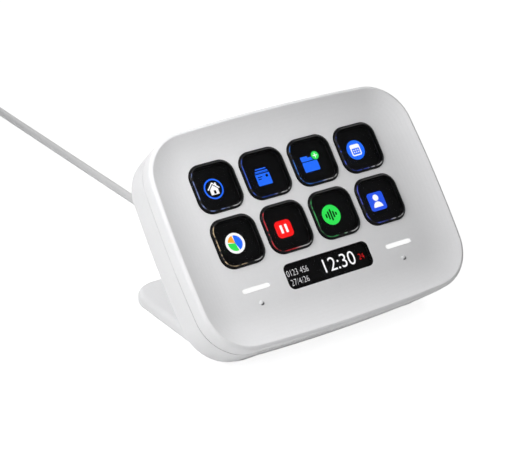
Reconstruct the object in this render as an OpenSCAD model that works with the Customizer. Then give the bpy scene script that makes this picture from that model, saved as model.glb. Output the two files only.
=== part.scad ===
// Desk keypad: eight display keys in a dished, leaning slab on a fixed foot, with an
// information strip, two lit touch bars and a captive USB lead.
// Slab frame: x across, y up the face, z out of the face, origin at the key grid's centre.

/* [Slab] */
// Width of the slab
slab_w = 107; // [106:0.5:114]
// Height of the slab, measured along its face
slab_h = 78; // [77:0.5:84]
// Thickness from the rim's crest to the flat back
slab_t = 20.4; // [20:0.2:25]
// Angle between the face and the desk
tilt = 50; // [44:1:58]
// Corner radius of the slab's outline
corner_r = 16; // [14.5:0.5:18]
// How far each side bows outwards
side_bow = 1.7; // [0.8:0.1:2.4]
// How far the top and bottom edges bow outwards
end_bow = 2; // [1:0.1:3]
// Distance from the key grid's centre down to the slab's centre
face_drop = 7.9; // [7:0.1:8.6]

/* [Shell] */
// Wall thickness of both housings
wall_t = 1.8; // [1.5:0.1:2.1]
// Height of the raised rim above the flat of the face
rim_h = 3.4; // [2.6:0.1:4]
// Rounding of the rim's outer edge
rim_r = 1.2; // [0.8:0.1:1.6]
// Width of the dished band inside the rim
dish_w = 12.5; // [10:0.5:13]
// Rounding of the slab's back edge
back_r = 3; // [2.4:0.1:3.6]
// How far the side walls lean in towards the back
back_draft = 0.6; // [0.3:0.1:0.9]
// Depth of the seam between the housings, below the flat of the face
seam_drop = 2.9; // [2.6:0.1:3.2]
// Open line left between the two housings at the seam
seam_gap = 0.25; // [0.15:0.05:0.4]

/* [Keys] */
// Distance between key centres
key_pitch = 19.5; // [19.2:0.1:19.9]
// Side of a square key cap
key_size = 17; // [16.6:0.1:17.2]
// Corner radius of a key cap
key_corner = 4.6; // [3.8:0.1:5.2]
// Rounding of a cap's top edge
key_edge = 0.8; // [0.4:0.1:1]
// How far a cap stands above the flat of the face
key_proud = 0.8; // [0.5:0.1:1.2]
// Travel of a key
key_travel = 1.2; // [0.8:0.1:1.3]
// Gap round a cap in its window
key_gap = 0.25; // [0.2:0.05:0.3]

/* [Strip and bars] */
// Width of the information window
strip_w = 34.5; // [30:0.5:37]
// Height of the information window
strip_h = 9; // [8:0.5:9.5]
// Corner radius of the information window
strip_corner = 2.2; // [1.5:0.1:3]
// Distance from the key grid's centre down to the information window
strip_drop = 26.2; // [26:0.1:26.8]
// Length of a lit touch bar
bar_len = 10.7; // [9:0.1:12]
// Width of a lit touch bar
bar_w = 1.6; // [1.2:0.1:2]
// Distance of a touch bar from the middle
bar_x = 29.3; // [28.6:0.1:31]
// Distance from a touch bar down to its raised pip
pip_drop = 5.3; // [5:0.1:5.6]
// Radius of a pip where it leaves the face
pip_r = 0.85; // [0.6:0.05:1]
// Height of a pip
pip_h = 0.45; // [0.3:0.05:0.6]

/* [Inside] */
// Thickness of the display panel
panel_t = 1.2; // [1:0.1:1.4]
// Thickness of the backlight behind it
backlight_t = 2; // [1.6:0.1:2.2]
// Thickness of the inner frame's floor
frame_t = 1.5; // [1.2:0.1:1.8]
// Thickness of the main circuit board
board_t = 1.2; // [0.8:0.1:1.4]
// Space between the inner frame and the main board
board_gap = 1.8; // [1.7:0.1:2.1]

/* [Foot] */
// Width of the foot plate
foot_w = 88; // [80:1:94]
// Length of the foot behind the slab's lowest line
foot_len = 60; // [54:0.5:66]
// Thickness of the foot plate
foot_t = 5; // [4.4:0.1:6]
// Plan radius of the foot's corners
foot_corner = 10; // [7:0.5:14]
// Rounding of the foot's edges
foot_edge = 2; // [1.4:0.1:2.1]
// Thickness of the rubber pad under the foot
pad_t = 1.2; // [0.9:0.1:1.6]
// How far the pad stands out of the foot
pad_proud = 0.5; // [0.3:0.1:0.7]

/* [Lead] */
// Diameter of the USB lead
lead_d = 3.3; // [3:0.1:3.6]
// Height of the lead's outlet above the desk
outlet_z = 9.5; // [9.2:0.1:10.5]
// Radius of the strain relief at the wall
relief_r = 3.2; // [2.8:0.1:3.4]
// Length of the strain relief outside the wall
relief_len = 20; // [16:0.5:22]

/* [Hidden] */
$fn = 48;

// Clearances
slip = 0.1;         // between pieces that slide or drop into one another
run_gap = 0.2;      // kept open over the whole travel of a key
glass_gap = 0.3;    // between a pressed key and the display

// Levels in the slab frame, from the face inwards
back_z = rim_h - slab_t;
floor_z = back_z + wall_t;
seam_top = -seam_drop + seam_gap / 2;
seam_low = -seam_drop - seam_gap / 2;
lip_z = -seam_drop - 1.9;
pocket_z = -wall_t / 2;
flange_z = pocket_z - run_gap;
flange_t = 0.4;
pill_t = 0.4;
board_z = flange_z - flange_t - pill_t - key_travel - run_gap;
sheet_t = 0.35;
key_board_t = 0.5;
glass_z = board_z - key_board_t;
plug_z = glass_z + glass_gap + key_travel;
ledge_t = 0.5;      // bonding flange of the lens and the light pipes
tray_z = glass_z - panel_t - backlight_t;
frame_z = tray_z - frame_t;
main_z = frame_z - board_gap;
main_low = main_z - board_t;

// Slab outline: bowed sides of large radius joined by corner arcs, all tangent.
half_w = slab_w / 2;
half_h = slab_h / 2;
side_r = (half_h * half_h + side_bow * side_bow) / (2 * side_bow);
end_r = (half_w * half_w + end_bow * end_bow) / (2 * end_bow);
side_c = [half_w - side_r, 0];
end_c = [0, half_h - end_r];
// The corner's centre lies on one circle about each of those centres.
c_gap = norm(end_c - side_c);
c_dir = (end_c - side_c) / c_gap;
c_along = (pow(side_r - corner_r, 2) - pow(end_r - corner_r, 2) + c_gap * c_gap) / (2 * c_gap);
c_off = sqrt(pow(side_r - corner_r, 2) - c_along * c_along);
corner_c = side_c + c_along * c_dir + c_off * [-c_dir[1], c_dir[0]];
side_a = atan2(corner_c[1] - side_c[1], corner_c[0] - side_c[0]);
end_a = atan2(corner_c[1] - end_c[1], corner_c[0] - end_c[0]);

function arc(r, c, a0, a1, n) =
    [for (k = [0 : n - 1]) let (a = a0 + (a1 - a0) * k / n) c + r * [cos(a), sin(a)]];
// One quarter of the outline, d inside the slab's edge, from the right end of the x axis
// to the top of the y axis.
function quarter(d) = concat(
    arc(side_r - d, side_c, 0, side_a, 4),
    arc(corner_r - d, corner_c, side_a, end_a, 12),
    arc(end_r - d, end_c, end_a, 90, 5),
    [[0, half_h - d]]);
function outline(d) = let (q = quarter(d), n = len(q) - 1) concat(
    [for (k = [0 : n - 1]) q[k]],
    [for (k = [n : -1 : 1]) [-q[k][0], q[k][1]]],
    [for (k = [0 : n - 1]) -q[k]],
    [for (k = [n : -1 : 1]) [q[k][0], -q[k][1]]]);
function lift(points, z) = [for (p = points) [p[0], p[1], z]];

// Skins a stack of rings that have the same number of points.
module loft(rings) {
    n = len(rings[0]);
    m = len(rings);
    polyhedron(
        points = [for (ring = rings) each ring],
        faces = concat(
            [[for (k = [n - 1 : -1 : 0]) k]],
            [for (j = [0 : m - 2], k = [0 : n - 1])
                [j * n + k, j * n + (k + 1) % n, (j + 1) * n + (k + 1) % n, (j + 1) * n + k]],
            [[for (k = [0 : n - 1]) (m - 1) * n + k]]));
}
// Skins a section, given as [distance inside the edge, height] pairs, round the outline.
module shell(section) loft([for (s = section) lift(outline(s[0]), s[1])]);

// Dished band: an arc in section, level at its inner end and steepest at the rim.
dish_in = rim_r + dish_w;
dish_r = (dish_w * dish_w + rim_h * rim_h) / (2 * rim_h);
function dish_z(d) = d > dish_in ? 0 : dish_r - sqrt(dish_r * dish_r - pow(dish_in - d, 2));
function under_z(d) = d > dish_in ? -wall_t
    : dish_r - sqrt(pow(dish_r + wall_t, 2) - pow(dish_in - d, 2));
function mid_z(d) = (dish_z(d) + under_z(d)) / 2;

// Where the slab stands: lowest line of its back rounding, and the foot behind it.
blend_lift = 0.1;   // the rounding runs into the foot just above its underside
back_c = [-face_drop - half_h + back_draft + back_r, back_z + back_r];
function across(p) = p[0] * cos(tilt) - p[1] * sin(tilt);
function up(p) = p[0] * sin(tilt) + p[1] * cos(tilt);
grid_z = pad_proud + back_r - up(back_c) + blend_lift;
front_y = across([-face_drop - half_h + rim_r, rim_h - rim_r]) - rim_r;
top_y = across([half_h - face_drop - back_draft - back_r, back_c[1]]) + back_r;
rear_y = max(across(back_c) + foot_len, top_y);
origin_y = -(front_y + rear_y) / 2;
low_y = origin_y + across(back_c);
foot_top = pad_proud + foot_t;
// Distance up the face at which the back plane has a given height above the desk.
function back_up(z) = (z - grid_z - back_z * cos(tilt)) / sin(tilt);
function back_y(z) = origin_y + across([back_up(z), back_z]);

module on_face() translate([0, origin_y, grid_z]) rotate([tilt, 0, 0]) children();
module on_slab() on_face() translate([0, -face_drop, 0]) children();
module key_place(k)
    translate([((k - 1) % 4 - 1.5) * key_pitch, (k < 5 ? 0.5 : -0.5) * key_pitch, 0]) children();
module mirrored() for (flip = [0, 1]) mirror([flip, 0, 0]) children();

// Flat plate with rounded corners between two levels.
module plate(w, h, r, z0, z1) translate([0, 0, z0]) linear_extrude(z1 - z0) {
    square([w - 2 * r, h], center = true);
    square([w, h - 2 * r], center = true);
    for (x = [-1, 1], y = [-1, 1])
        translate([x * (w / 2 - r), y * (h / 2 - r)]) circle(r);
}
module stadium(w, h, z0, z1) translate([0, 0, z0]) linear_extrude(z1 - z0) {
    square([w - h, h], center = true);
    for (x = [-1, 1]) translate([x * (w - h) / 2, 0]) circle(h / 2);
}
// Rounded block with rounded edges: crossed bars of one profile and turned corners.
module block_profile(half, z0, z1, r0, r1) {
    translate([0, z0]) square([half - max(r0, r1), z1 - z0]);
    translate([0, z0 + r0]) square([half, z1 - z0 - r0 - r1]);
    if (r1 > 0) translate([half - r1, z1 - r1]) circle(r1);
    if (r0 > 0) translate([half - r0, z0 + r0]) circle(r0);
}
module block_bar(w, run, z0, z1, r0, r1)
    rotate([90, 0, 0]) linear_extrude(run, center = true)
        for (flip = [0, 1]) mirror([flip, 0]) block_profile(w / 2, z0, z1, r0, r1);
module block(w, h, corner, z0, z1, r0, r1) {
    block_bar(w, h - 2 * corner, z0, z1, r0, r1);
    rotate([0, 0, 90]) block_bar(h, w - 2 * corner, z0, z1, r0, r1);
    for (x = [-1, 1], y = [-1, 1])
        translate([x * (w / 2 - corner), y * (h / 2 - corner), 0])
            rotate_extrude() block_profile(corner, z0, z1, r0, r1);
}

// Front housing: dished face, rim, key wells and windows, a lip that drops into the rear
// housing, bosses for the inner frame and the housing screws, and two snap hooks.
ear_in = 6.3;       // from the slab's side to an ear's centre
ear_x = half_w - ear_in;
ear_y = 16;
ear_r = 2.8;
boss_r = 2.6;
screw_r = 0.95;
pilot_r = 1;
tray_in = 9.5;      // from the slab's side to the tray
tray_rise = 1.6;    // from the slab's centre up to the tray's
tray_y = tray_rise - face_drop;
closer_x = 30;
closer_in = 6.1;    // from the slab's lower edge to a housing screw
closer_y = face_drop + half_h - closer_in;
closer_r = 2.3;
closer_len = 8;
hook_x = 28;
hook_w = 6;
hook_low = -8;
hook_nub = 0.7;
well = key_size + 1.9;
lip_t = 0.85;
pip_d = half_h + face_drop - strip_drop - pip_drop;      // from the slab's lower edge
pip_ball = (pip_r * pip_r + pip_h * pip_h) / (2 * pip_h);
module at_pips() on_face() mirrored()
    translate([bar_x, -strip_drop - pip_drop, 0]) children();
module hook_place() translate([end_c[0], end_c[1], 0])
    rotate([0, 0, -asin(hook_x / end_r)]) translate([0, end_r, 0]) children();
module front_solid() {
    on_slab() shell(concat(
        [for (k = [0 : 9]) let (d = dish_in - dish_w * k / 9) [d, dish_z(d)]],
        [for (a = [67.5, 45, 22.5, 0]) [rim_r - rim_r * cos(a), rim_h - rim_r + rim_r * sin(a)]],
        [[0, seam_top], [wall_t - lip_t, seam_top], [wall_t - lip_t, lip_z], [wall_t, lip_z]],
        [for (k = [0 : 3]) let (d = wall_t + (dish_in - wall_t) * k / 3) [d, under_z(d)]]));
    on_face() mirrored() {
        for (y = [-1, 1]) translate([ear_x, tray_y + y * ear_y, tray_z])
            cylinder(h = mid_z(half_w - ear_x) - tray_z, r = boss_r);
        translate([closer_x, -closer_y, floor_z + slip])
            cylinder(h = mid_z(face_drop + half_h - closer_y) - floor_z - slip, r = closer_r);
    }
    // Each pip is the cap of a ball sunk in the face's wall.
    at_pips() translate([0, 0, dish_z(pip_d) + pip_h - pip_ball]) sphere(pip_ball);
    on_slab() mirrored() hook_place() {
        translate([-hook_w / 2, -wall_t - 1.4, hook_low])
            cube([hook_w, 1.1, mid_z(wall_t + 0.9) - hook_low]);
        translate([-hook_w / 2, -wall_t - 0.4, hook_low])
            cube([hook_w, hook_nub + 0.1, 1.4]);
    }
}
module front_housing() color("ghostwhite") difference() {
    front_solid();
    on_face() {
        for (k = [1 : 8]) key_place(k) {
            plate(key_size + 2 * key_gap, key_size + 2 * key_gap, key_corner + key_gap,
                -wall_t - 1, 1);
            plate(well, well, key_corner + 0.95, -wall_t - 1, pocket_z);
        }
        translate([0, -strip_drop, 0])
            plate(strip_w, strip_h, strip_corner, -wall_t - 1, 1);
        mirrored() {
            translate([bar_x, -strip_drop - 0.1, 0]) stadium(bar_len, bar_w, -wall_t - 1, 1);
            for (y = [-1, 1]) translate([ear_x, tray_y + y * ear_y, tray_z - 1])
                cylinder(h = 5, r = pilot_r);
            translate([closer_x, -closer_y, floor_z - 1]) cylinder(h = 9, r = pilot_r);
        }
    }
}

// Rear housing: a deep tray with a rounded back edge, moulded in one with the foot plate and
// a fillet between them, and bored for the lead, the hooks and the screws.
foot_front = low_y - foot_edge / 2;
foot_rear = low_y + foot_len;
fillet_r = 2;
head_r = 1.9;
head_t = 1.2;
seat_t = 1.6;       // wall left under a housing screw's head
pad_side = 5.5;     // width of foot left bare round the pad
pad_front = low_y + 1.6;
pad_corner = 6;
module rear_solid() {
    on_slab() shell(concat([[0, seam_low]],
        [for (a = [0 : 15 : 90])
            [back_draft + back_r - back_r * cos(a), back_z + back_r - back_r * sin(a)]]));
    translate([0, (foot_front + foot_rear) / 2, 0])
        block(foot_w, foot_rear - foot_front, foot_corner, pad_proud, foot_top,
            foot_edge, foot_edge);
    reach = fillet_r / tan(tilt / 2);
    tip = reach * [cos(tilt), sin(tilt)];
    // The fillet is left out where the lead's relief comes through.
    clear_x = relief_r + 0.8;
    mirrored() translate([clear_x, back_y(foot_top), foot_top]) rotate([90, 0, 90])
        linear_extrude(foot_w / 2 - foot_edge - clear_x) difference() {
            polygon([[-0.6, -0.5], [reach, -0.5], [reach, 0], tip, tip + [-0.5, 0.2]]);
            translate([reach, fillet_r]) circle(fillet_r);
        }
}
module rear_cavity() on_slab() shell(concat(
    [[wall_t - lip_t - slip, 1], [wall_t - lip_t - slip, lip_z - run_gap],
        [wall_t, lip_z - run_gap]],
    [for (a = [0, 30, 60, 90])
        [back_draft + back_r - (back_r - wall_t) * cos(a),
            back_z + back_r - (back_r - wall_t) * sin(a)]]));
module pad_plate(grow, z1)
    translate([0, (pad_front + foot_rear - 3.5) / 2, 0])
        plate(foot_w - 2 * pad_side + 2 * grow, foot_rear - 3.5 - pad_front + 2 * grow,
            pad_corner + grow, 0, z1);
module rear_housing() color("whitesmoke") difference() {
    rear_solid();
    rear_cavity();
    pad_plate(slip, pad_t);
    translate([0, back_y(outlet_z) - 7, outlet_z]) rotate([-90, 0, 0])
        cylinder(h = 14, r = relief_r + slip);
    on_face() mirrored() translate([closer_x, -closer_y, 0]) {
        translate([0, 0, floor_z - wall_t - 1]) cylinder(h = wall_t + 2, r = screw_r + slip);
        translate([0, 0, floor_z - seat_t - 9]) cylinder(h = 9, r = head_r + 0.2);
    }
    on_slab() mirrored() hook_place()
        translate([-hook_w / 2 - 0.3, -wall_t - 0.6, hook_low - 0.3])
            cube([hook_w + 0.6, hook_nub + 0.6, 2.2]);
}
module base_pad() color("dimgray") pad_plate(0, pad_t);

// Keys: a clear cap with a plug that reaches towards the display, in a flanged carrier with
// four contact pills.
plug = key_size - 2;
module key_cap(k) color("black", 0.9) on_face() key_place(k) {
    block(key_size, key_size, key_corner, flange_z, key_proud, 0, key_edge);
    plate(plug, plug, key_corner - 1, plug_z, flange_z);
}
module key_frame(k) color("black") on_face() key_place(k) difference() {
    plate(well - 0.5, well - 0.5, key_corner + 0.7, flange_z - flange_t, flange_z);
    plate(plug + slip, plug + slip, key_corner - 1 + slip / 2, flange_z - 1, flange_z + 1);
}
module pill_places(r) for (a = [0 : 90 : 270]) rotate([0, 0, a]) translate([r, 0, 0]) children();
pill_r = (plug + well) / 4 - 0.15;
module key_pills(k) color("dimgray") on_face() key_place(k) pill_places(pill_r)
    translate([-0.6, -2.5, flange_z - flange_t - pill_t]) cube([1.2, 5, pill_t]);
module key_cap_1() key_cap(1);
module key_cap_2() key_cap(2);
module key_cap_3() key_cap(3);
module key_cap_4() key_cap(4);
module key_cap_5() key_cap(5);
module key_cap_6() key_cap(6);
module key_cap_7() key_cap(7);
module key_cap_8() key_cap(8);
module key_frame_1() key_frame(1);
module key_frame_2() key_frame(2);
module key_frame_3() key_frame(3);
module key_frame_4() key_frame(4);
module key_frame_5() key_frame(5);
module key_frame_6() key_frame(6);
module key_frame_7() key_frame(7);
module key_frame_8() key_frame(8);
module key_pills_1() key_pills(1);
module key_pills_2() key_pills(2);
module key_pills_3() key_pills(3);
module key_pills_4() key_pills(4);
module key_pills_5() key_pills(5);
module key_pills_6() key_pills(6);
module key_pills_7() key_pills(7);
module key_pills_8() key_pills(8);

// Information lens and light pipes, bonded under the face by their flanges.
module strip_lens() color("black") on_face() translate([0, -strip_drop, 0]) {
    plate(strip_w - 2 * slip, strip_h - 2 * slip, strip_corner - slip, -wall_t, -0.1);
    plate(strip_w + 3, strip_h + 3, strip_corner + 1, -wall_t - ledge_t, -wall_t);
}
led_t = 0.5;
module light_pipes() color("white") on_face() mirrored()
    translate([bar_x, -strip_drop - 0.1, 0]) {
        stadium(bar_len - 2 * slip, bar_w - 2 * slip, -wall_t, -0.3);
        plate(bar_len + 2.3, bar_w + 2, 1, -wall_t - ledge_t, -wall_t);
        plate(bar_len - 1, bar_w, 0.4, board_z + led_t + slip, -wall_t - ledge_t);
    }
module bar_leds() color("ivory") on_face() mirrored()
    for (x = [-1, 0, 1]) translate([bar_x + x * bar_len / 3.4 - 0.8, -strip_drop - 0.5, board_z])
        cube([1.6, 0.8, led_t]);
electrode_t = 0.2;
electrode_r = 3;
contact_r = 1.5;
module touch_electrodes() color("peru") at_pips()
    translate([0, 0, -wall_t - electrode_t]) cylinder(h = electrode_t, r = electrode_r);
module touch_contacts() color("gold") at_pips()
    translate([0, 0, board_z]) cylinder(h = -wall_t - electrode_t - board_z, r = contact_r);

// Switch sheet and key board, with a window under every key.
sight = plug + 0.6;
module sight_windows(z0, z1, notch) for (k = [1 : 8]) key_place(k) {
    plate(sight, sight, key_corner - 0.6, z0, z1);
    if (notch > 0) for (a = [0, 90]) rotate([0, 0, a])
        translate([0, 0, (z0 + z1) / 2]) cube([2 * pill_r + 2.2, 5.8, z1 - z0], center = true);
}
tray_w = slab_w - 2 * tray_in;
tray_end = 8.7;     // from the slab's end to the tray, at the mean
tray_h = slab_h - 2 * tray_end;
sheet_edge = 2.3;
sheet_w = 3 * key_pitch + well + 2 * sheet_edge;
sheet_h = key_pitch + well + sheet_edge - 0.7;
module dome_sheet() color("silver") on_face() difference() {
    plate(sheet_w, sheet_h, 3, board_z, board_z + sheet_t);
    sight_windows(board_z - 1, board_z + 1, 1);
}
module key_board() color("darkgreen") on_face() difference() {
    translate([0, tray_y, 0]) plate(tray_w, tray_h, 2, glass_z, board_z);
    sight_windows(glass_z - 1, board_z + 1, 0);
    translate([0, -strip_drop, 0]) plate(strip_w + 1.5, strip_h + 1.5, 1.5, glass_z - 1, board_z + 1);
}

// Display, backlight and the tray that carries them.
tray_wall = 2;
panel_w = tray_w - 2 * tray_wall;
panel_h = tray_h - 2 * tray_wall;
flex_x = 17;
flex_w = 18;
flex_t = 0.25;
link_w = 10;
module lcd_panel() color("darkslategray") on_face() translate([0, tray_y, 0])
    plate(panel_w - 2 * slip, panel_h - 2 * slip, 0.8, glass_z - panel_t, glass_z);
module backlight() color("white") on_face() translate([0, tray_y, 0])
    plate(panel_w - 2 * slip, panel_h - 2 * slip, 0.8, tray_z, glass_z - panel_t);
post_x = 30;
post_y = 16;
post_r = 2.4;
module inner_frame() color("darkgray") on_face() difference() {
    translate([0, tray_y, 0]) {
        plate(tray_w, tray_h, 2, frame_z, glass_z);
        for (x = [-1, 1], y = [-1, 1]) {
            translate([x * ear_x, y * ear_y, frame_z]) cylinder(h = frame_t, r = ear_r);
            translate([x * (tray_w / 2 + ear_x - 2) / 2, y * ear_y, frame_z + frame_t / 2])
                cube([ear_x + 2 - tray_w / 2, 2 * ear_r, frame_t], center = true);
            translate([x * post_x, y * post_y, main_z])
                cylinder(h = board_gap + 0.5, r = post_r);
        }
    }
    translate([0, tray_y, 0]) {
        plate(panel_w, panel_h, 0.9, tray_z, glass_z + 1);
        for (x = [-1, 1], y = [-1, 1]) {
            translate([x * ear_x, y * ear_y, frame_z - 1])
                cylinder(h = frame_t + 2, r = screw_r + slip);
            translate([x * post_x, y * post_y, main_z - 1])
                cylinder(h = board_gap + frame_t - 0.3 + 1, r = pilot_r);
        }
        // Notch for the display's flex in the lower wall.
        translate([flex_x, -tray_h / 2, glass_z]) cube([flex_w + 1, 2 * tray_wall + 1, 2], center = true);
    }
}

// Main board with its parts, hung from the tray's posts.
main_w = 70;
main_h = 44;
socket_t = 1;
module main_board() color("seagreen") on_face() difference() {
    translate([0, tray_y, 0]) plate(main_w, main_h, 2, main_low, main_z);
    for (x = [-1, 1], y = [-1, 1]) translate([x * post_x, tray_y + y * post_y, main_low - 1])
        cylinder(h = board_t + 2, r = screw_r + slip);
}
chip_t = 1.2;
chip_w = 10;
module chip(x, y, w, h, t) translate([x, tray_y + y, main_low - t / 2])
    cube([w, h, t], center = true);
module board_chips() color("black") on_face() {
    chip(-1.2 * chip_w, chip_w / 2, chip_w, chip_w, chip_t);
    chip(chip_w, 0.6 * chip_w, 1.2 * chip_w, 0.8 * chip_w, chip_t);
    chip(-0.4 * chip_w, -0.9 * chip_w, chip_w / 2, 0.4 * chip_w, 0.75 * chip_t);
    for (k = [1.6, 2, 2.4]) chip(k * chip_w, -0.6 * chip_w, 0.16 * chip_w, 0.32 * chip_w, chip_t);
}
socket_h = 3;
lcd_socket_y = tray_y - main_h / 2 + 0.5;
link_socket_y = tray_y + main_h / 2 - 0.5;
module flex_sockets() color("wheat") on_face() {
    translate([flex_x - flex_w / 2 - 1, lcd_socket_y, main_z]) cube([flex_w + 2, socket_h, socket_t]);
    translate([-flex_x - link_w / 2 - 1, link_socket_y - socket_h, main_z])
        cube([link_w + 2, socket_h, socket_t]);
}
// Strip of flex that leaves one level, turns through half a circle and returns on another.
module flex_loop(w, y0, y_turn, y1, z0, z1) {
    r = (z0 - z1) / 2;
    dir = y_turn > y0 ? 1 : -1;
    rotate([90, 0, 90]) linear_extrude(w, center = true) {
        translate([min(y0, y_turn), z0 - flex_t / 2]) square([abs(y_turn - y0), flex_t]);
        translate([min(y1, y_turn), z1 - flex_t / 2]) square([abs(y_turn - y1), flex_t]);
        translate([y_turn, (z0 + z1) / 2]) intersection() {
            difference() {
                circle(r + flex_t / 2);
                circle(r - flex_t / 2);
            }
            translate([dir > 0 ? 0 : -r - 1, -r - 1]) square([r + 1, 2 * r + 2]);
        }
    }
}
flex_in = main_z + socket_t / 2;
module lcd_flex() color("orange") on_face() translate([flex_x, 0, 0])
    flex_loop(flex_w, tray_y - panel_h / 2 + slip, tray_y - tray_h / 2 - 0.4, lcd_socket_y,
        glass_z - 0.6, flex_in);
module board_link() color("orange") on_face() translate([-flex_x, 0, 0])
    flex_loop(link_w, tray_y + tray_h / 2, tray_y + tray_h / 2 + 0.3, link_socket_y,
        (board_z + glass_z) / 2, flex_in);

// Lead inside the slab: header, plug, wire and the strain relief seated on the back wall.
header_y = tray_y - 17;
header_t = 2.2;
inner_r = 1.2;
inner_z = main_low - header_t / 2 - slip;
anchor_t = 4.7;
anchor_w = 8;
anchor_h = 10;
neck_in = 2;        // how far the neck runs into the anchor
anchor_y = (outlet_z - grid_z - (floor_z + 1.1) * cos(tilt)) / sin(tilt);
module cable_header() color("ivory") on_face()
    translate([-5, header_y, main_low - header_t - 2 * slip]) cube([10, 3, header_t + 2 * slip]);
module lead_plug() color("white") on_face()
    translate([-4.4, header_y - 3.4, main_low - header_t - slip]) cube([8.8, 3.4, header_t]);
module inner_lead() color("dimgray") on_face()
    translate([0, anchor_y + anchor_h / 2, inner_z]) rotate([-90, 0, 0])
        cylinder(h = header_y - 3.4 - anchor_y - anchor_h / 2, r = inner_r);
outlet_y = back_y(outlet_z);
relief_end_r = 2.2;
groove_n = 6;
function relief_rad(t) = relief_r + (relief_end_r - relief_r) * t / relief_len;
module strain_relief() color("white") {
    on_face() translate([-anchor_w / 2, anchor_y - anchor_h / 2, floor_z])
        cube([anchor_w, anchor_h, anchor_t]);
    translate([0, outlet_y, outlet_z]) rotate([-90, 0, 0]) {
        translate([0, 0, -(neck_in + wall_t) / sin(tilt)])
            cylinder(h = (neck_in + wall_t) / sin(tilt) + 3.2, r = relief_r);
        difference() {
            rotate_extrude() polygon([[0, 3], [relief_r, 3],
                [relief_end_r, relief_len - 0.6], [relief_end_r - 0.5, relief_len], [0, relief_len]]);
            for (k = [1 : groove_n]) let (t = 3 + (relief_len - 3) * k / (groove_n + 1))
                translate([0, 0, t]) rotate_extrude()
                    translate([relief_rad(t), 0]) square([0.9, 1], center = true);
        }
    }
}

// Fasteners
module screw(shank, z_seat) translate([0, 0, z_seat]) {
    cylinder(h = shank, r = screw_r);
    translate([0, 0, -head_t]) difference() {
        cylinder(h = head_t, r = head_r);
        translate([0, 0, -0.1]) for (a = [0, 90]) rotate([0, 0, a])
            cube([2.2, 0.5, 1.2], center = true);
    }
}
module housing_screws() color("silver") on_face() mirrored()
    translate([closer_x, -closer_y, 0]) screw(closer_len, floor_z - seat_t);
module frame_screws() color("silver") on_face() mirrored() for (y = [-1, 1])
    translate([ear_x, tray_y + y * ear_y, 0]) screw(frame_t + 3, frame_z);
module board_screws() color("silver") on_face() mirrored() for (y = [-1, 1])
    translate([post_x, tray_y + y * post_y, 0]) screw(board_t + board_gap + 0.9, main_low);

// Lead on the desk: a swept tube along hand-set points, the coil of the rest, its tie, and
// the tail to the plug.
lead_route = concat([[0, outlet_y + relief_len, outlet_z]], [
    [0, 14, 9.5], [0, 20, 9.4], [0, 26, 9.1], [0, 32, 8.5], [0, 38, 7.5], [0, 44, 6.3],
    [0, 50, 5.0], [0, 56, 3.8], [0, 62, 2.8], [0, 68, 2.1], [0, 74, 1.8], [0, 80, 1.7],
    [0, 90, 1.7], [0, 100, 1.7], [0, 110, 1.7], [0, 120, 1.7], [0, 130, 1.7], [0, 140, 1.7],
    [0, 150, 1.7], [0, 160, 1.7], [0, 170, 1.7], [0, 180, 1.7], [0, 190, 1.7], [0, 200, 1.7],
    [0, 210, 1.7], [0, 220, 1.7], [0, 230, 1.8], [0, 238, 2.2], [0, 245, 2.4]]);
tail_route = [[-41.4, 256, 10.2], [-41.4, 252, 11.4], [-41.4, 247, 12.3], [-41.4, 242, 12.5],
    [-41.4, 237, 12.4], [-41.4, 232, 11.6], [-41.4, 226, 9.7], [-41.4, 220, 7.3],
    [-41.4, 214, 5.1], [-41.4, 208, 3.9], [-41.4, 203, 3.75]];
coil_c = [-24, 254];
coil_mid = 19;
coil_wide = 4;      // turns beside each other
coil_high = 3;      // turns on each other
tie_t = 0.8;
function unit(v) = v / norm(v);
function heading(p, k) = unit(p[min(k + 1, len(p) - 1)] - p[max(k - 1, 0)]);
function tube_ring(c, t) = let (s = unit(cross(t, [0, 0, 1])), u = cross(s, t))
    [for (a = [22.5 : 45 : 337.5]) c + lead_d / 2 * (cos(a) * s + sin(a) * u)];
module tube(route) loft([for (k = [0 : len(route) - 1]) tube_ring(route[k], heading(route, k))]);
module cable() color("white") tube(lead_route);
module cable_tail() color("white") tube(tail_route);
module coil_section(grow) translate([coil_mid, tie_t + coil_high * lead_d / 2])
    square([coil_wide * lead_d + 2 * grow, coil_high * lead_d + 2 * grow], center = true);
module cable_coil() color("white") translate([coil_c[0], coil_c[1], 0])
    rotate_extrude($fn = 96) coil_section(0);
module cable_tie() color("black") translate([coil_c[0], coil_c[1], 0])
    rotate([0, 0, 30]) rotate_extrude(angle = 24) difference() {
        coil_section(tie_t);
        coil_section(0.05);
    }
plug_y = tail_route[len(tail_route) - 1][1];
plug_x = tail_route[0][0];
shell_h = 4.5;
shell_w = 12;
module usb_plug() color("white") {
    translate([plug_x, plug_y, 3.75]) rotate([90, 0, 0]) {
        cylinder(h = 8, r = 3);
        translate([0, 0, 6]) plate(15.6, 7.5, 2.4, 0, 24);
    }
}
module usb_shell() color("silver") translate([plug_x, plug_y - 30, 3.75]) rotate([90, 0, 0]) {
    difference() {
        plate(shell_w, shell_h, 0.6, 0, 11.8);
        plate(shell_w - 0.6, shell_h - 0.6, 0.3, 1, 13);
    }
    translate([0, 0.9, 0]) plate(shell_w - 1, 1.9, 0.1, 0.5, 11);
}

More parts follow.
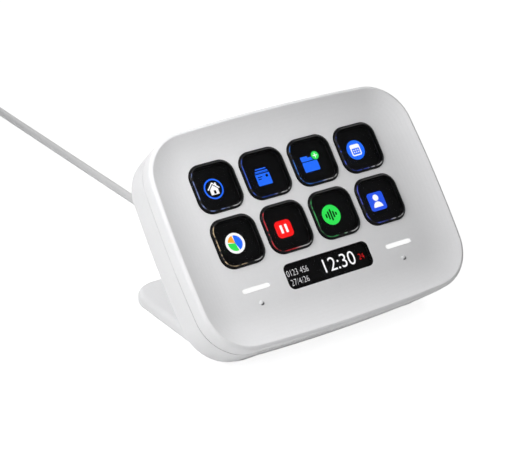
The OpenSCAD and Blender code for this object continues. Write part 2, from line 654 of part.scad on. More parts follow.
front_housing();
rear_housing();
base_pad();
strip_lens();
light_pipes();
key_cap_1();
key_cap_2();
key_cap_3();
key_cap_4();
key_cap_5();
key_cap_6();
key_cap_7();
key_cap_8();
key_frame_1();
key_frame_2();
key_frame_3();
key_frame_4();
key_frame_5();
key_frame_6();
key_frame_7();
key_frame_8();
key_pills_1();
key_pills_2();
key_pills_3();
key_pills_4();
key_pills_5();
key_pills_6();
key_pills_7();
key_pills_8();
dome_sheet();
key_board();
bar_leds();
touch_electrodes();
touch_contacts();
lcd_panel();
backlight();
inner_frame();
main_board();
board_chips();
flex_sockets();
lcd_flex();
board_link();
cable_header();
lead_plug();
inner_lead();
strain_relief();
housing_screws();
frame_screws();
board_screws();
cable();
cable_coil();
cable_tail();
cable_tie();
usb_plug();
usb_shell();
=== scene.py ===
import bpy
import bmesh
import math
from mathutils import Matrix, Vector


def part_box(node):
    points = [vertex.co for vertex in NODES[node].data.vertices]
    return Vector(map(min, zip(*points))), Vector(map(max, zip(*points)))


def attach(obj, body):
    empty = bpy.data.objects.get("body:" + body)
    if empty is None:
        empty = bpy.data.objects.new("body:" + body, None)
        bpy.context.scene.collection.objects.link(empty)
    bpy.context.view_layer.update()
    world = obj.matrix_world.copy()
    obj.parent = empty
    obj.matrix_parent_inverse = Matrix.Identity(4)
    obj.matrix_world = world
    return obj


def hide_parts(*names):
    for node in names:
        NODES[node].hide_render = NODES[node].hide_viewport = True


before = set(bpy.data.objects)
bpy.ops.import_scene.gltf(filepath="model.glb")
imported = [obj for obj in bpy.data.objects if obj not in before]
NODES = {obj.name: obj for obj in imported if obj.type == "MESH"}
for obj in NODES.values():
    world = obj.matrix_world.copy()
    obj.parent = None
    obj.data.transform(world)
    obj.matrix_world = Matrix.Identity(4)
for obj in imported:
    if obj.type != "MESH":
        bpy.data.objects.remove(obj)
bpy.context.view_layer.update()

scene = bpy.context.scene
scene.view_settings.view_transform = "Standard"

# ---------------------------------------------------------------- sizes, as in the CAD (mm)
# The face frame has x across the face, y up it and z out of it, from the key grid's centre.
TILT = math.radians(50)
ST, CT = math.sin(TILT), math.cos(TILT)
HALF_W, HALF_H, SLAB_T = 53.5, 39.0, 20.4
DROP = 7.9                        # from the key grid's centre down to the slab's
WALL = 1.8                        # thickness of the face
RIM_H, RIM_R = 3.4, 1.2
BACK_R, BACK_DRAFT = 3.0, 0.6
PAD_PROUD, BLEND_LIFT, FOOT_LEN = 0.5, 0.1, 60.0
PITCH = 19.5
KEY = [((k % 4 - 1.5) * PITCH, (0.5 if k < 4 else -0.5) * PITCH) for k in range(8)]
GLASS = -3.8                      # front of the display
WELL = 18.9                       # side of the recess under a key's window
STRIP = (0.0, -26.2, 34.5, 9.0)   # centre and size of the strip's opening
SEAM_TOP, SEAM_LOW = -2.775, -3.025     # the two walls of the open seam
LIP_LOW = -4.8                    # lower end of the lip behind the seam

# Where the slab stands in the row frame: the centre of its lower rear rounding in the face
# frame's y and z, the height of the key grid, and the front and rear ends of the object.
BACK = (-DROP - HALF_H + BACK_DRAFT + BACK_R, RIM_H - SLAB_T + BACK_R)
GRID_Z = PAD_PROUD + BACK_R - (BACK[0] * ST + BACK[1] * CT) + BLEND_LIFT
FRONT = (-DROP - HALF_H + RIM_R) * CT - (RIM_H - RIM_R) * ST - RIM_R
REAR = BACK[0] * CT - BACK[1] * ST + FOOT_LEN
ORIGIN_Y = -(FRONT + REAR) / 2


def face(x, y, z=0.0):
    """A point of the face frame (mm) in the row frame (m)."""
    return Vector((x, ORIGIN_Y + y * CT - z * ST, GRID_Z + y * ST + z * CT)) * 0.001


def turn(v):
    """A direction of the face frame in the row frame."""
    return Vector((v[0], v[1] * CT - v[2] * ST, v[1] * ST + v[2] * CT))


def in_face(p):
    """The face-frame coordinates (mm) of a point of the row frame (m)."""
    y, z = p[1] * 1000 - ORIGIN_Y, p[2] * 1000 - GRID_Z
    return Vector((p[0] * 1000, y * CT + z * ST, -y * ST + z * CT))


def facet(poly):
    """The centre (mm) and the normal of a mesh face, in the face frame."""
    centre = in_face(poly.center)
    return centre, in_face(poly.center + poly.normal * 0.001) - centre


def add_object(name, data):
    ob = bpy.data.objects.new(name, data)
    scene.collection.objects.link(ob)
    return ob


# ---------------------------------------------------------------- camera
# The photograph's camera: the face frame's axes as the camera has them, to its right, down and
# ahead, then the place of the frame's origin (in key pitches) and the lens (in pixels).
SEEN_X = Vector((0.82808638, -0.24256142, 0.50540766))
SEEN_Y = Vector((-0.36646841, -0.91646527, 0.16059983))
SEEN_Z = Vector((0.42423325, -0.31820647, -0.84780351))
SEEN_ORIGIN = Vector((0.678584621, -0.591597635, 29.1932285)) * PITCH
FOCAL, WIDTH = 1693.5, 520.0
SENSOR = 36.0

to_face = Matrix((SEEN_X, SEEN_Y, SEEN_Z)).transposed().inverted()
eye = -(to_face @ SEEN_ORIGIN)
right, down, ahead = (turn(to_face @ Vector(a)) for a in ((1, 0, 0), (0, 1, 0), (0, 0, 1)))
stand = Matrix.Identity(4)
for i, axis in enumerate((right, -down, -ahead)):
    for j in range(3):
        stand[j][i] = axis[j]
stand.translation = face(*eye)
cam_data = bpy.data.cameras.new("camera")
cam = add_object("camera", cam_data)
cam.matrix_world = stand
cam_data.sensor_width = SENSOR
cam_data.sensor_fit = "HORIZONTAL"
cam_data.lens = FOCAL * SENSOR / WIDTH
cam_data.shift_x = -0.5 / WIDTH
cam_data.shift_y = 0.5 / WIDTH
cam_data.clip_start = 0.01
cam_data.clip_end = 20.0
scene.camera = cam


# ---------------------------------------------------------------- shader helpers
def wire(tree, kind, inputs, **settings):
    """A shader node with its inputs set or linked; gives its result's socket."""
    node = tree.nodes.new(kind)
    for key, value in settings.items():
        setattr(node, key, value)
    for key, value in inputs.items():
        if isinstance(value, bpy.types.NodeSocket):
            tree.links.new(value, node.inputs[key])
        else:
            node.inputs[key].default_value = value
    return node.outputs["Value"] if kind == "ShaderNodeVectorMath" else node.outputs[0]


def maths(tree, operation, *values):
    return wire(tree, "ShaderNodeMath", dict(enumerate(values)), operation=operation)


def place(tree, output="Object"):
    return tree.nodes.new("ShaderNodeTexCoord").outputs[output]


def along(tree, vector, axis):
    """How far a place or a normal reaches along an axis."""
    return wire(tree, "ShaderNodeVectorMath", {0: vector, 1: axis}, operation="DOT_PRODUCT")


def noise(tree, scale, detail=2.0):
    return wire(tree, "ShaderNodeTexNoise",
                {"Vector": place(tree), "Scale": scale, "Detail": detail})


def ramp(tree, value, low, high, top=1.0, start=0.0):
    """start below low, turning smoothly to top at high; the two may be in either order."""
    return wire(tree, "ShaderNodeMapRange",
                {"Value": value, "From Min": low, "From Max": high, "To Min": start, "To Max": top},
                interpolation_type="SMOOTHSTEP")


def mixed(tree, blend, a, b):
    """A colour between two others, each of them a socket or three numbers."""
    mix = tree.nodes.new("ShaderNodeMix")
    mix.data_type = "RGBA"
    tree.links.new(blend, mix.inputs[0])
    for slot, colour in ((6, a), (7, b)):          # the node's two inputs for colours
        if isinstance(colour, bpy.types.NodeSocket):
            tree.links.new(colour, mix.inputs[slot])
        else:
            mix.inputs[slot].default_value = (*colour, 1)
    return mix.outputs[2]


def material(name, **values):
    """A new material with numbers and colours set on its own shader."""
    mat = bpy.data.materials.new(name)
    mat.use_nodes = True
    bsdf = mat.node_tree.nodes["Principled BSDF"]
    for key, value in values.items():
        bsdf.inputs[key.replace("_", " ")].default_value = value
    return mat, mat.node_tree, bsdf


def mould(tree, bsdf, scale, strength, distance, rough=None):
    """Fine mould texture: noise into the bump and, if asked, the roughness; gives the noise."""
    grain = noise(tree, scale, 3.0)
    bump = wire(tree, "ShaderNodeBump",
                {"Strength": strength, "Distance": distance, "Height": grain})
    tree.links.new(bump, bsdf.inputs["Normal"])
    if rough:
        spread = wire(tree, "ShaderNodeMapRange",
                      {"To Min": rough[0], "To Max": rough[1], "Value": grain})
        tree.links.new(spread, bsdf.inputs["Roughness"])
    return grain


def plastic(name, a, b, rough, scale=900.0, strength=0.12, distance=0.00004, **values):
    """A finish that varies between two tones and two roughnesses."""
    mat, tree, bsdf = material(name, **values)
    grain = mould(tree, bsdf, scale, strength, distance, rough)
    tree.links.new(mixed(tree, grain, a, b), bsdf.inputs["Base Color"])
    return mat


def painted_shade(name, rough, output, axis, low, high, a, b):
    """Painted shade: a colour that turns from tone a to tone b along an axis, by place or by
    normal.
    """
    mat, tree, bsdf = material(name, Roughness=rough)
    blend = ramp(tree, along(tree, place(tree, output), axis), low, high)
    tree.links.new(mixed(tree, blend, a, b), bsdf.inputs["Base Color"])
    return mat


def glow(name, colour, strength=1.0):
    """A lit patch of a display: emission with a faint pixel grain."""
    mat, tree, bsdf = material(name, Roughness=0.4, Base_Color=(0.01, 0.01, 0.01, 1),
                               Emission_Strength=strength)
    dim = [c * 0.96 for c in colour]
    tree.links.new(mixed(tree, noise(tree, 4000.0), dim, colour), bsdf.inputs["Emission Color"])
    return mat


def srgb(*c):
    """A colour of 0 to 255 a channel, as a shader takes it."""
    return tuple((v / 255 / 12.92) if v <= 10 else ((v / 255 + 0.055) / 1.055) ** 2.4 for v in c)


# ---------------------------------------------------------------- finishes
BLACK = ((0.003, 0.003, 0.0035), (0.006, 0.006, 0.007))
DEEP_BLACK = ((0.001, 0.001, 0.0012), (0.002, 0.002, 0.0025))
WHITE = plastic("white_shell", (0.80, 0.80, 0.81), (0.83, 0.83, 0.84), (0.4, 0.5),
                Specular_IOR_Level=0.3)
PAD = plastic("rubber_pad", (0.10, 0.10, 0.105), (0.14, 0.14, 0.145), (0.7, 0.85), 300.0, 0.3)
SHEATH = plastic("white_sheath", (0.80, 0.80, 0.805), (0.84, 0.84, 0.845), (0.42, 0.55), 600.0)
CARRIER = plastic("carrier", *BLACK, (0.45, 0.55), Specular_IOR_Level=0.15)
DARK = plastic("dark_film", (0.003, 0.003, 0.004), (0.006, 0.006, 0.007), (0.12, 0.2),
               Specular_IOR_Level=0.2)
BOARD = plastic("solder_mask", (0.01, 0.10, 0.045), (0.015, 0.13, 0.06), (0.35, 0.5), 200.0)
IVORY = plastic("connector", (0.72, 0.68, 0.55), (0.78, 0.74, 0.62), (0.4, 0.5))
CHIP = plastic("chip", (0.015, 0.015, 0.016), (0.03, 0.03, 0.03), (0.5, 0.6))
FLEX = plastic("flex_film", (0.55, 0.25, 0.05), (0.62, 0.30, 0.07), (0.3, 0.4), 300.0)
DIFFUSER = plastic("diffuser", (0.8, 0.8, 0.8), (0.85, 0.85, 0.85), (0.5, 0.6))
TIE = plastic("hook_and_loop", (0.012, 0.012, 0.013), (0.03, 0.03, 0.032), (0.85, 0.95),
              1500.0, 0.9, 0.0003)
STEEL = plastic("plated_steel", (0.55, 0.55, 0.57), (0.62, 0.62, 0.64), (0.2, 0.32), 500.0,
                0.05, Metallic=1.0)
COPPER = plastic("copper", (0.72, 0.38, 0.22), (0.80, 0.45, 0.28), (0.25, 0.35), Metallic=1.0)
GOLD = plastic("gold_plate", (0.85, 0.62, 0.22), (0.90, 0.68, 0.28), (0.2, 0.3), Metallic=1.0)
ALU = plastic("pressed_aluminium", (0.58, 0.58, 0.6), (0.66, 0.66, 0.68), (0.3, 0.45),
              Metallic=1.0)
CLEAR, tree, bsdf = material("clear_cap", Roughness=0.02, IOR=1.49, Transmission_Weight=1.0,
                             Base_Color=(0.93, 0.93, 0.95, 1))
mould(tree, bsdf, 60.0, 0.01, 0.00002)
LIT_BAR = glow("lit_bar", (1.0, 1.0, 1.0))
BLACK_PRINT = plastic("black_print", *DEEP_BLACK, (0.5, 0.6), 300.0, 0.02,
                      Specular_IOR_Level=0.05)
BLACK_GLOSS = plastic("black_gloss", *DEEP_BLACK, (0.1, 0.18), 500.0, 0.05,
                      Specular_IOR_Level=0.12)

# The painted light along a cap's edge, a glow that stands in for the picture's light seen
# through the rounded edge and for its highlights, in m from the cap's middle: it starts at the
# first distance to the left or down and is whole at the second, and it turns from the picture's
# colour to a pale painted highlight between the two distances across.
EDGE_REACH = (-0.0066, -0.0074)
EDGE_PALE = (-0.001, 0.003)
EDGE_LEFT, EDGE_LOW = 0.75, 0.5   # how much of it shows at the left side and the lower side
EDGE_BREAKS = (0.40, 0.58)        # the noise at a gap and in a whole streak


def painted_edge_light(name, colour, x, y):
    """The last ring of a cap's rounded edge: black, with broken streaks of painted light along its
    left side, standing in for the picture's light seen through the edge, and whiter ones along its
    lower side as painted highlights."""
    mat, tree, bsdf = material(name, Roughness=0.12, Specular_IOR_Level=0.3,
                               Base_Color=(*DEEP_BLACK[1], 1), Emission_Strength=1.0)
    grain = noise(tree, 420.0, 3.0)
    spot = place(tree)
    across, up = (maths(tree, "SUBTRACT", along(tree, spot, axis), face(x, y).dot(Vector(axis)))
                  for axis in ((1, 0, 0), (0, CT, ST)))
    left = ramp(tree, across, *EDGE_REACH, EDGE_LEFT)
    low = ramp(tree, up, *EDGE_REACH, EDGE_LOW)
    streak = ramp(tree, grain, *EDGE_BREAKS)
    amount = maths(tree, "MULTIPLY", maths(tree, "MAXIMUM", left, low), streak)
    tone = mixed(tree, ramp(tree, across, *EDGE_PALE), colour, (0.7, 0.7, 0.7))
    light = mixed(tree, amount, (0.012, 0.012, 0.013), tone)
    tree.links.new(light, bsdf.inputs["Emission Color"])
    return mat


# ---------------------------------------------------------------- the CAD nodes' finishes
CREASE = math.radians(32.0)


def give(ob, mat):
    ob.data.materials.clear()
    ob.data.materials.append(mat)


def add_slot(ob, mat):
    """One more material on an object; gives its index."""
    ob.data.materials.append(mat)
    return len(ob.data.materials) - 1


def smooth(ob):
    """Smooth shading with creases kept where the faces meet at more than the crease angle."""
    me = ob.data
    if me.has_custom_normals:
        with bpy.context.temp_override(object=ob, active_object=ob, selected_objects=[ob]):
            bpy.ops.mesh.customdata_custom_splitnormals_clear()
    me.polygons.foreach_set("use_smooth", [True] * len(me.polygons))
    me.set_sharp_from_angle(angle=CREASE)


LOOKS = {
    "front_housing": WHITE, "rear_housing": WHITE, "base_pad": PAD, "strip_lens": CLEAR,
    "light_pipes": LIT_BAR, "dome_sheet": DARK, "key_board": DARK, "bar_leds": IVORY,
    "touch_electrodes": COPPER, "touch_contacts": GOLD, "lcd_panel": DARK,
    "backlight": DIFFUSER, "inner_frame": ALU, "main_board": BOARD, "board_chips": CHIP,
    "flex_sockets": IVORY, "lcd_flex": FLEX, "board_link": FLEX, "cable_header": IVORY,
    "lead_plug": IVORY, "inner_lead": CHIP, "strain_relief": SHEATH,
    "housing_screws": STEEL, "frame_screws": STEEL, "board_screws": STEEL,
    "cable_tie": TIE, "usb_plug": WHITE, "usb_shell": STEEL,
}
for k in range(1, 9):
    LOOKS["key_cap_%d" % k] = CLEAR
    LOOKS["key_frame_%d" % k] = CARRIER
    LOOKS["key_pills_%d" % k] = CHIP
for name, mat in LOOKS.items():
    give(NODES[name], mat)
    smooth(NODES[name])

# A mesh face's lean is its normal's share out of the face: next to nothing for an upright wall
# and nearly 1 for a flat. The last ring of a rounded edge lies between the other two.
UPRIGHT, RING, FLAT = 0.2, 0.92, 0.9985
RIM_UNDER = GLASS + 2             # the underside of a cap's rim is above this
EDGE_TINTS = [srgb(130, 150, 215), srgb(40, 90, 215), srgb(50, 120, 220), srgb(60, 90, 225),
              srgb(215, 190, 150), srgb(225, 45, 55), srgb(60, 175, 90), srgb(80, 95, 215)]

# A cap's upright walls and the underside of its rim are printed black and its rounded edge is
# black gloss, but for the ring next to the flat top, which has painted light: a glow in the
# picture's colour and pale painted highlights, standing in for light seen through the edge. The
# flat top and the bottom of the plug stay flat in shading.
for k in range(8):
    cap = NODES["key_cap_%d" % (k + 1)]
    printed = add_slot(cap, BLACK_PRINT)
    gloss = add_slot(cap, BLACK_GLOSS)
    ring = add_slot(cap, painted_edge_light("edge_light_%d" % (k + 1), EDGE_TINTS[k], *KEY[k]))
    for poly in cap.data.polygons:
        centre, normal = facet(poly)
        lean = normal.z
        if abs(lean) > FLAT:
            poly.use_smooth = False
        if abs(lean) < UPRIGHT or (lean < -0.5 and centre.z > RIM_UNDER):
            poly.material_index = printed
        elif 0 < lean < FLAT:
            poly.material_index = gloss if lean < RING else ring

# The walls of the strip's lens are printed black too, and its faces are flat in shading.
lens = NODES["strip_lens"]
printed = add_slot(lens, BLACK_PRINT)
for poly in lens.data.polygons:
    if abs(facet(poly)[1].z) < UPRIGHT:
        poly.material_index = printed
    else:
        poly.use_smooth = False

# The walls of the key wells and of the strip's opening are painted black as shade, standing in
# for the dark inside the openings. The pips get painted shade, dark on the side turned to the
# lower right.
PIP_X, PIP_Y, PIP_R = 29.3, -31.5, 0.83   # distance from the middle, height and radius
OVER = 0.1                        # reach past an opening's edge
UNDER_FACE = -0.02                # walls start this far below the face
PIP = painted_shade("shaded_pip", 0.3, "Normal", turn((0.46, -0.88, 0)), -0.05, 0.42,
             (0.66, 0.66, 0.67), (0.09, 0.09, 0.09))
shell = NODES["front_housing"]
black = add_slot(shell, CARRIER)
pip = add_slot(shell, PIP)
for poly in shell.data.polygons:
    c = in_face(poly.center)
    key_hole = any(max(abs(c.x - x), abs(c.y - y)) < WELL / 2 + OVER for x, y in KEY)
    strip_hole = (abs(c.x - STRIP[0]) < STRIP[2] / 2 + OVER
                  and abs(c.y - STRIP[1]) < STRIP[3] / 2 + OVER)
    if c.z < UNDER_FACE and (key_hole or strip_hole):
        poly.material_index = black
    elif c.z > -WALL / 2 and math.hypot(abs(c.x) - PIP_X, c.y - PIP_Y) < PIP_R:
        poly.material_index = pip

# The open seam's two walls and the outside of the lip behind it get painted shade, darker
# towards the desk, so that the seam reads as a line that fades upwards.
OUTER = 0.84                      # share of the slab's half size where its edge begins
AT_SEAM = 0.02                    # a seam wall is this near to its level
SEAM_SHADE = painted_shade("seam_painted_shade", 0.65, "Object", (0, 0, 1), 0.008, 0.036,
                   (0.09, 0.09, 0.093), (0.70, 0.70, 0.71))
for name, level in (("front_housing", SEAM_TOP), ("rear_housing", SEAM_LOW)):
    ob = NODES[name]
    seam_shade = add_slot(ob, SEAM_SHADE)
    for poly in ob.data.polygons:
        c, n = facet(poly)
        outer = max(abs(c.x) / HALF_W, abs(c.y + DROP) / HALF_H) > OUTER
        wall = abs(c.z - level) < AT_SEAM and abs(n.z) > 0.9
        lip = (name == "front_housing" and LIP_LOW < c.z < SEAM_TOP and abs(n.z) < 0.3
               and n.x * c.x + n.y * (c.y + DROP) > 0)
        if outer and (wall or lip):
            poly.material_index = seam_shade

# ---------------------------------------------------------------- the lead (mm)
LEAD_D = 3.3
OUT_Y = 1000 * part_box("strain_relief")[1][1]
ROUTE = [(0, OUT_Y, 9.5), (0, 14, 9.5), (0, 20, 9.4), (0, 26, 9.1), (0, 32, 8.5), (0, 38, 7.5),
         (0, 44, 6.3), (0, 50, 5.0), (0, 56, 3.8), (0, 62, 2.8), (0, 68, 2.1), (0, 74, 1.8),
         (0, 80, 1.7), (0, 100, 1.7), (0, 120, 1.7), (0, 140, 1.7), (0, 160, 1.7),
         (0, 180, 1.7), (0, 200, 1.7), (0, 220, 1.7), (0, 230, 1.8), (0, 238, 2.2)]
COIL_X, COIL_Y = -24.0, 254.0
RADII = [23.95, 20.65, 17.35, 14.05]
LEVELS = [2.5, 5.8, 9.05]
TURNS, STEPS = 10.5, 24           # turns of the coil, and points to a turn
HOLD = 0.72                       # share of a turn before it moves over to the next
TAIL_RISE, TAIL_TURN = 1.75, 0.2  # climb to the tail, over this last part of a turn
TAIL = [(-41.4, 252, 11.4), (-41.4, 247, 12.3), (-41.4, 242, 12.5), (-41.4, 237, 12.4),
        (-41.4, 232, 11.6), (-41.4, 226, 9.7), (-41.4, 220, 7.3), (-41.4, 214, 5.1),
        (-41.4, 208, 3.9), (-41.4, 203, 3.75)]


def coil_points():
    """Turns wound inwards on the desk, then outwards on top of them, then inwards again and
    out over the top to the tail."""
    winds = [(r, z) for z, track in zip(LEVELS, (RADII, RADII[::-1], RADII)) for r in track]
    last = len(winds) - 1
    pts = []
    for i in range(int(TURNS * STEPS) + 1):
        done = i / STEPS
        n = int(min(done, last))
        ease = max(0.0, (done - n - HOLD) / (1 - HOLD))
        ease = ease * ease * (3 - 2 * ease)
        (r0, z0), (r1, z1) = winds[n], winds[min(n + 1, last)]
        r = r0 + (r1 - r0) * ease
        z = z0 + (z1 - z0) * ease
        z += TAIL_RISE * max(0.0, (done - TURNS + TAIL_TURN) / TAIL_TURN) ** 2
        t = 2 * math.pi * done
        pts.append((COIL_X + r * math.cos(t), COIL_Y + r * math.sin(t), z))
    return pts


def tube(name, points, radius, mat):
    """A round cord along points (m)."""
    cu = bpy.data.curves.new(name, "CURVE")
    cu.dimensions = "3D"
    cu.bevel_depth = radius
    cu.bevel_resolution = 6
    cu.use_fill_caps = True
    spline = cu.splines.new("POLY")
    spline.points.add(len(points) - 1)
    for p, q in zip(spline.points, points):
        p.co = (q[0], q[1], q[2], 1)
    spline.use_smooth = True
    cu.materials.append(mat)
    return add_object(name, cu)


line = ROUTE + coil_points() + TAIL
lead = tube("usb_lead", [Vector(p) * 0.001 for p in line], LEAD_D / 2000, SHEATH)
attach(lead, "base")
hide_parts("cable", "cable_coil", "cable_tail")

# ---------------------------------------------------------------- what the displays show (mm)
INK = {
    "white": glow("lit_white", (1.0, 1.0, 1.0), 1.15),
    "blue": glow("lit_blue", srgb(20, 104, 246), 1.25),
    "deep_blue": glow("lit_deep_blue", srgb(28, 80, 225), 1.25),
    "green": glow("lit_green", srgb(40, 225, 80), 1.2),
    "red": glow("lit_red", srgb(255, 6, 8), 1.15),
    "orange": glow("lit_orange", srgb(250, 160, 20), 1.2),
    "black": DARK,
}
FIRST_LAYER, LAYER_STEP = 0.03, 0.012   # a picture's layers in front of the glass
DIGIT_LAYER = 0.05
FIGURE = 0.73                     # height of a figure, as a share of the font's size
OFF_CENTRE = (0.3, 0.1)           # of the pictures on their keys


def disc(r, x=0.0, y=0.0, n=40):
    return [(x + r * math.cos(2 * math.pi * k / n), y + r * math.sin(2 * math.pi * k / n))
            for k in range(n)]


def sector(r, a0, a1, n=18):
    """A slice of a disc between two angles in degrees."""
    angles = [math.radians(a0 + (a1 - a0) * k / n) for k in range(n + 1)]
    return [(0.0, 0.0)] + [(r * math.cos(a), r * math.sin(a)) for a in angles]


def box(w, h, r=0.0, x=0.0, y=0.0, n=5):
    """A rectangle with rounded corners."""
    r = max(r, 0.01)
    pts = []
    for q, (sx, sy) in enumerate(((1, 1), (-1, 1), (-1, -1), (1, -1))):
        for k in range(n + 1):
            a = math.pi / 2 * (q + k / n)
            pts.append((x + sx * (w / 2 - r) + r * math.cos(a),
                        y + sy * (h / 2 - r) + r * math.sin(a)))
    return pts


def picture(name, x, y, layers):
    """Flat lit shapes on the display, each layer a hair in front of the one before."""
    colours = []
    bm = bmesh.new()
    for level, (colour, outline) in enumerate(layers):
        if colour not in colours:
            colours.append(colour)
        z = GLASS + FIRST_LAYER + LAYER_STEP * level
        f = bm.faces.new([bm.verts.new(face(x + a, y + b, z)) for a, b in outline])
        f.material_index = colours.index(colour)
    me = bpy.data.meshes.new(name)
    bm.to_mesh(me)
    bm.free()
    for colour in colours:
        me.materials.append(INK[colour])
    ob = add_object(name, me)
    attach(ob, "base")


ROOF = [(-2.35, 0.1), (0, 2.35), (0.9, 1.5), (0.9, 2.0), (1.45, 2.0), (1.45, 0.97), (2.35, 0.1),
        (2.05, -0.2), (0, 1.75), (-2.05, -0.2)]
WALLS = [(-1.55, -0.15), (0, 1.35), (1.55, -0.15), (1.55, -2.0), (-1.55, -2.0)]
DAYS = [("white", box(0.42, 0.42, 0.05, 0.85 * i - 0.85, -0.05 - 0.8 * j))
        for i in range(3) for j in range(2)]
METER = [("black", box(0.62, h, 0.3, x, 0))
         for x, h in ((-1.95, 1.5), (-0.98, 3.0), (0, 4.2), (0.98, 2.4), (1.95, 1.2))]
SHOULDERS = [(-1.9, -2.1)] + [
    (1.9 * math.cos(math.radians(a)), -2.1 + 2.0 * math.sin(math.radians(a)))
    for a in range(180, -1, -12)] + [(1.9, -2.1)]
PICTURES = [
    ("home", [("blue", disc(3.6)), ("black", disc(3.05)), ("white", ROOF), ("white", WALLS),
              ("black", box(0.85, 1.2, 0.1, 0.1, -1.15))]),
    ("drawer", [("blue", box(5.6, 4.6, 0.4, 0, -1.1)), ("black", box(6.0, 0.35, 0, 0, 0.85)),
                ("blue", box(5.0, 0.45, 0.1, 0, 1.55)), ("blue", box(4.2, 0.4, 0.1, 0, 2.4)),
                ("black", box(1.8, 0.35, 0.1, -1.2, -0.35)),
                ("black", box(1.2, 0.35, 0.1, -1.5, -1.1)),
                ("black", disc(0.5, 1.5, -0.3, 20))]),
    ("folder", [("blue", box(2.9, 1.4, 0.3, -1.7, 1.8)), ("blue", box(6.2, 1.2, 0.2, 0, 1.3)),
                ("black", box(6.6, 0.3, 0, 0, 0.55)), ("blue", box(6.2, 3.6, 0.4, 0, -1.4)),
                ("black", disc(1.75, 2.9, 2.0)), ("green", disc(1.5, 2.9, 2.0)),
                ("white", box(1.7, 0.32, 0, 2.9, 2.0)), ("white", box(0.32, 1.7, 0, 2.9, 2.0))]),
    ("calendar", [("blue", disc(3.6)), ("white", box(4.0, 4.2, 0.7)),
                  ("blue", box(3.1, 2.3, 0.2, 0, -0.5))] + DAYS),
    ("chart", [("white", disc(3.6)), ("blue", sector(2.7, -70, 90)),
               ("green", sector(2.7, -190, -78)), ("orange", sector(2.7, 98, 162))]),
    ("pause", [("red", box(6.4, 6.0, 1.5)), ("white", box(0.95, 2.9, 0.2, -0.95, 0)),
               ("white", box(0.95, 2.9, 0.2, 0.95, 0))]),
    ("levels", [("green", disc(3.6))] + METER),
    ("person", [("deep_blue", box(6.6, 6.6, 1.0)), ("white", disc(1.15, 0, 1.35, 28)),
                ("white", SHOULDERS)]),
]
for k, (title, layers) in enumerate(PICTURES):
    picture("picture_%d_%s" % (k + 1, title), KEY[k][0] + OFF_CENTRE[0],
            KEY[k][1] + OFF_CENTRE[1], layers)


def digits(name, text, height, x, y, colour, squeeze, weight):
    """A plain number on the strip, centred at a point of it."""
    cu = bpy.data.curves.new(name, "FONT")
    cu.body = text
    cu.size = height / FIGURE
    cu.offset = weight * height
    cu.align_x = "CENTER"
    cu.align_y = "CENTER"
    source = bpy.data.objects.new(name + "_text", cu)
    me = bpy.data.meshes.new_from_object(source)
    bpy.data.objects.remove(source)
    ob = add_object(name, me)
    for v in me.vertices:
        v.co = face(STRIP[0] + x + v.co.x * squeeze, STRIP[1] + y + v.co.y, GLASS + DIGIT_LAYER)
    give(ob, INK[colour])
    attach(ob, "base")


digits("strip_number_main", "12:30", 5.0, 5.6, 0.2, "white", 0.95, -0.004)
digits("strip_number_upper", "0123 456", 2.3, -10.6, 1.5, "white", 0.74, -0.03)
digits("strip_number_lower", "27/4/26", 2.3, -10.9, -1.8, "white", 0.76, -0.03)
digits("strip_number_side", "24", 2.2, 15.2, -0.1, "red", 0.8, -0.03)


# ---------------------------------------------------------------- floor and surroundings (m)
def ray_kinds(tree):
    """1 on camera rays, and 1 on rays off gloss or through clear caps."""
    path = tree.nodes.new("ShaderNodeLightPath").outputs
    return path["Is Camera Ray"], maths(tree, "MAXIMUM", path["Is Glossy Ray"],
                                        path["Is Transmission Ray"])


# The floor is plain and pale under the lamps. Where it is seen it is paper white with the
# object's shadow on it, and half as bright where gloss and clear caps show it. It glows a
# little more where the lamps' light gives out.
FLOOR_HALF = 3.0
LAMPS_END = (0.3, 0.9)
PAPER, PAPER_MORE = 0.88, 0.12
LIT_PAPER = (0.42, 0.42, 0.42, 1)
FLOOR, tree, bsdf = material("floor", Roughness=0.9)
tree.links.new(mixed(tree, noise(tree, 3.0), (0.89, 0.89, 0.89), (0.91, 0.91, 0.91)),
               bsdf.inputs["Base Color"])
camera, shown = ray_kinds(tree)
away = wire(tree, "ShaderNodeVectorMath", {0: place(tree)}, operation="LENGTH")
paper = maths(tree, "ADD", ramp(tree, away, *LAMPS_END, PAPER_MORE), PAPER)
paper = maths(tree, "MULTIPLY", paper, maths(tree, "MULTIPLY_ADD", shown, -0.5, 1.0))
paper = wire(tree, "ShaderNodeEmission", {"Strength": paper})
lit = wire(tree, "ShaderNodeBsdfDiffuse", {"Color": LIT_PAPER})
both = wire(tree, "ShaderNodeAddShader", {0: paper, 1: lit})
seen = maths(tree, "MAXIMUM", camera, shown)
mix = wire(tree, "ShaderNodeMixShader", {0: seen, 1: bsdf.outputs[0], 2: both})
tree.links.new(mix, tree.nodes["Material Output"].inputs["Surface"])
me = bpy.data.meshes.new("floor")
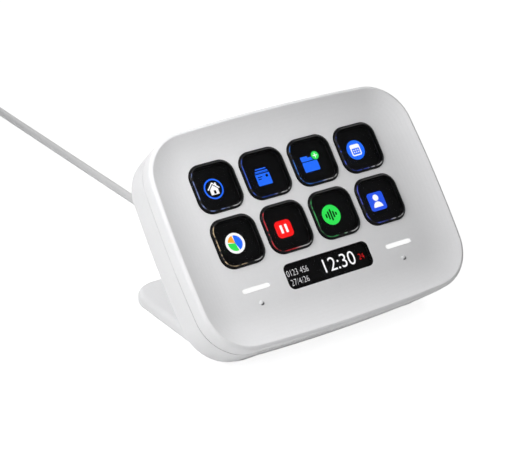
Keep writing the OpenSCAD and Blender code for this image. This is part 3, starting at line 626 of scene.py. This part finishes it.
bm = bmesh.new()
bmesh.ops.create_grid(bm, x_segments=8, y_segments=8, size=FLOOR_HALF)
bm.to_mesh(me)
bm.free()
floor = add_object("floor", me)
give(floor, FLOOR)

# White surroundings for the camera and pale ones for gloss and clear caps, with a dark board
# above the front right, where the flat black keys would mirror them.
PALE, BOARD_TONE = 0.5, 0.05
BOARD_DIR = (0.505, -0.546, 0.668)
BOARD_EDGE = (0.70, 0.90)         # it starts and is whole at these shares along its direction
world = bpy.data.worlds.new("world")
scene.world = world
world.use_nodes = True
tree = world.node_tree
camera, shown = ray_kinds(tree)
toward = along(tree, place(tree, "Generated"), BOARD_DIR)
around = maths(tree, "MULTIPLY", ramp(tree, toward, *BOARD_EDGE, BOARD_TONE, PALE), shown)
background = tree.nodes["Background"].inputs
background["Color"].default_value = (1, 1, 1, 1)
tree.links.new(maths(tree, "MAXIMUM", around, camera), background["Strength"])


# ---------------------------------------------------------------- lamps (m)
def area(name, at, size, power):
    """A soft square lamp that faces the object."""
    data = bpy.data.lights.new(name, "AREA")
    data.shape = "SQUARE"
    data.size = size
    data.energy = power
    ob = add_object(name, data)
    ob.location = at
    ob.rotation_euler = (face(0, 0, 0) - Vector(at)).to_track_quat("-Z", "Y").to_euler()
    ob.visible_camera = False


# The powers are fitted to the photograph's tones on the shell: the small lamps shade the dish
# from the left and from near by, and the large ones light the object from farther off.
area("light_left", face(-260, 160, 120), 0.14, 0.55)
area("light_low_left", face(-180, 0, 200), 0.14, 0.14)
area("light_near_left", face(-110, 40, 110), 0.10, 0.018)
area("light_near_top", face(-40, 110, 90), 0.10, 0.054)
area("light_near_middle", face(-20, 20, 140), 0.10, 0.033)
area("light_back", (0, 1.27, 0.30), 0.8, 3.4)
area("light_back_right", (0.70, 0.70, 0.87), 0.8, 3.2)
area("light_right", (0.92, 0, 0.95), 0.8, 2.75)
area("light_low_right", (1.27, 0, 0.30), 0.8, 0.76)
area("light_far_left", (-1.27, 0, 0.30), 0.8, 0.5)
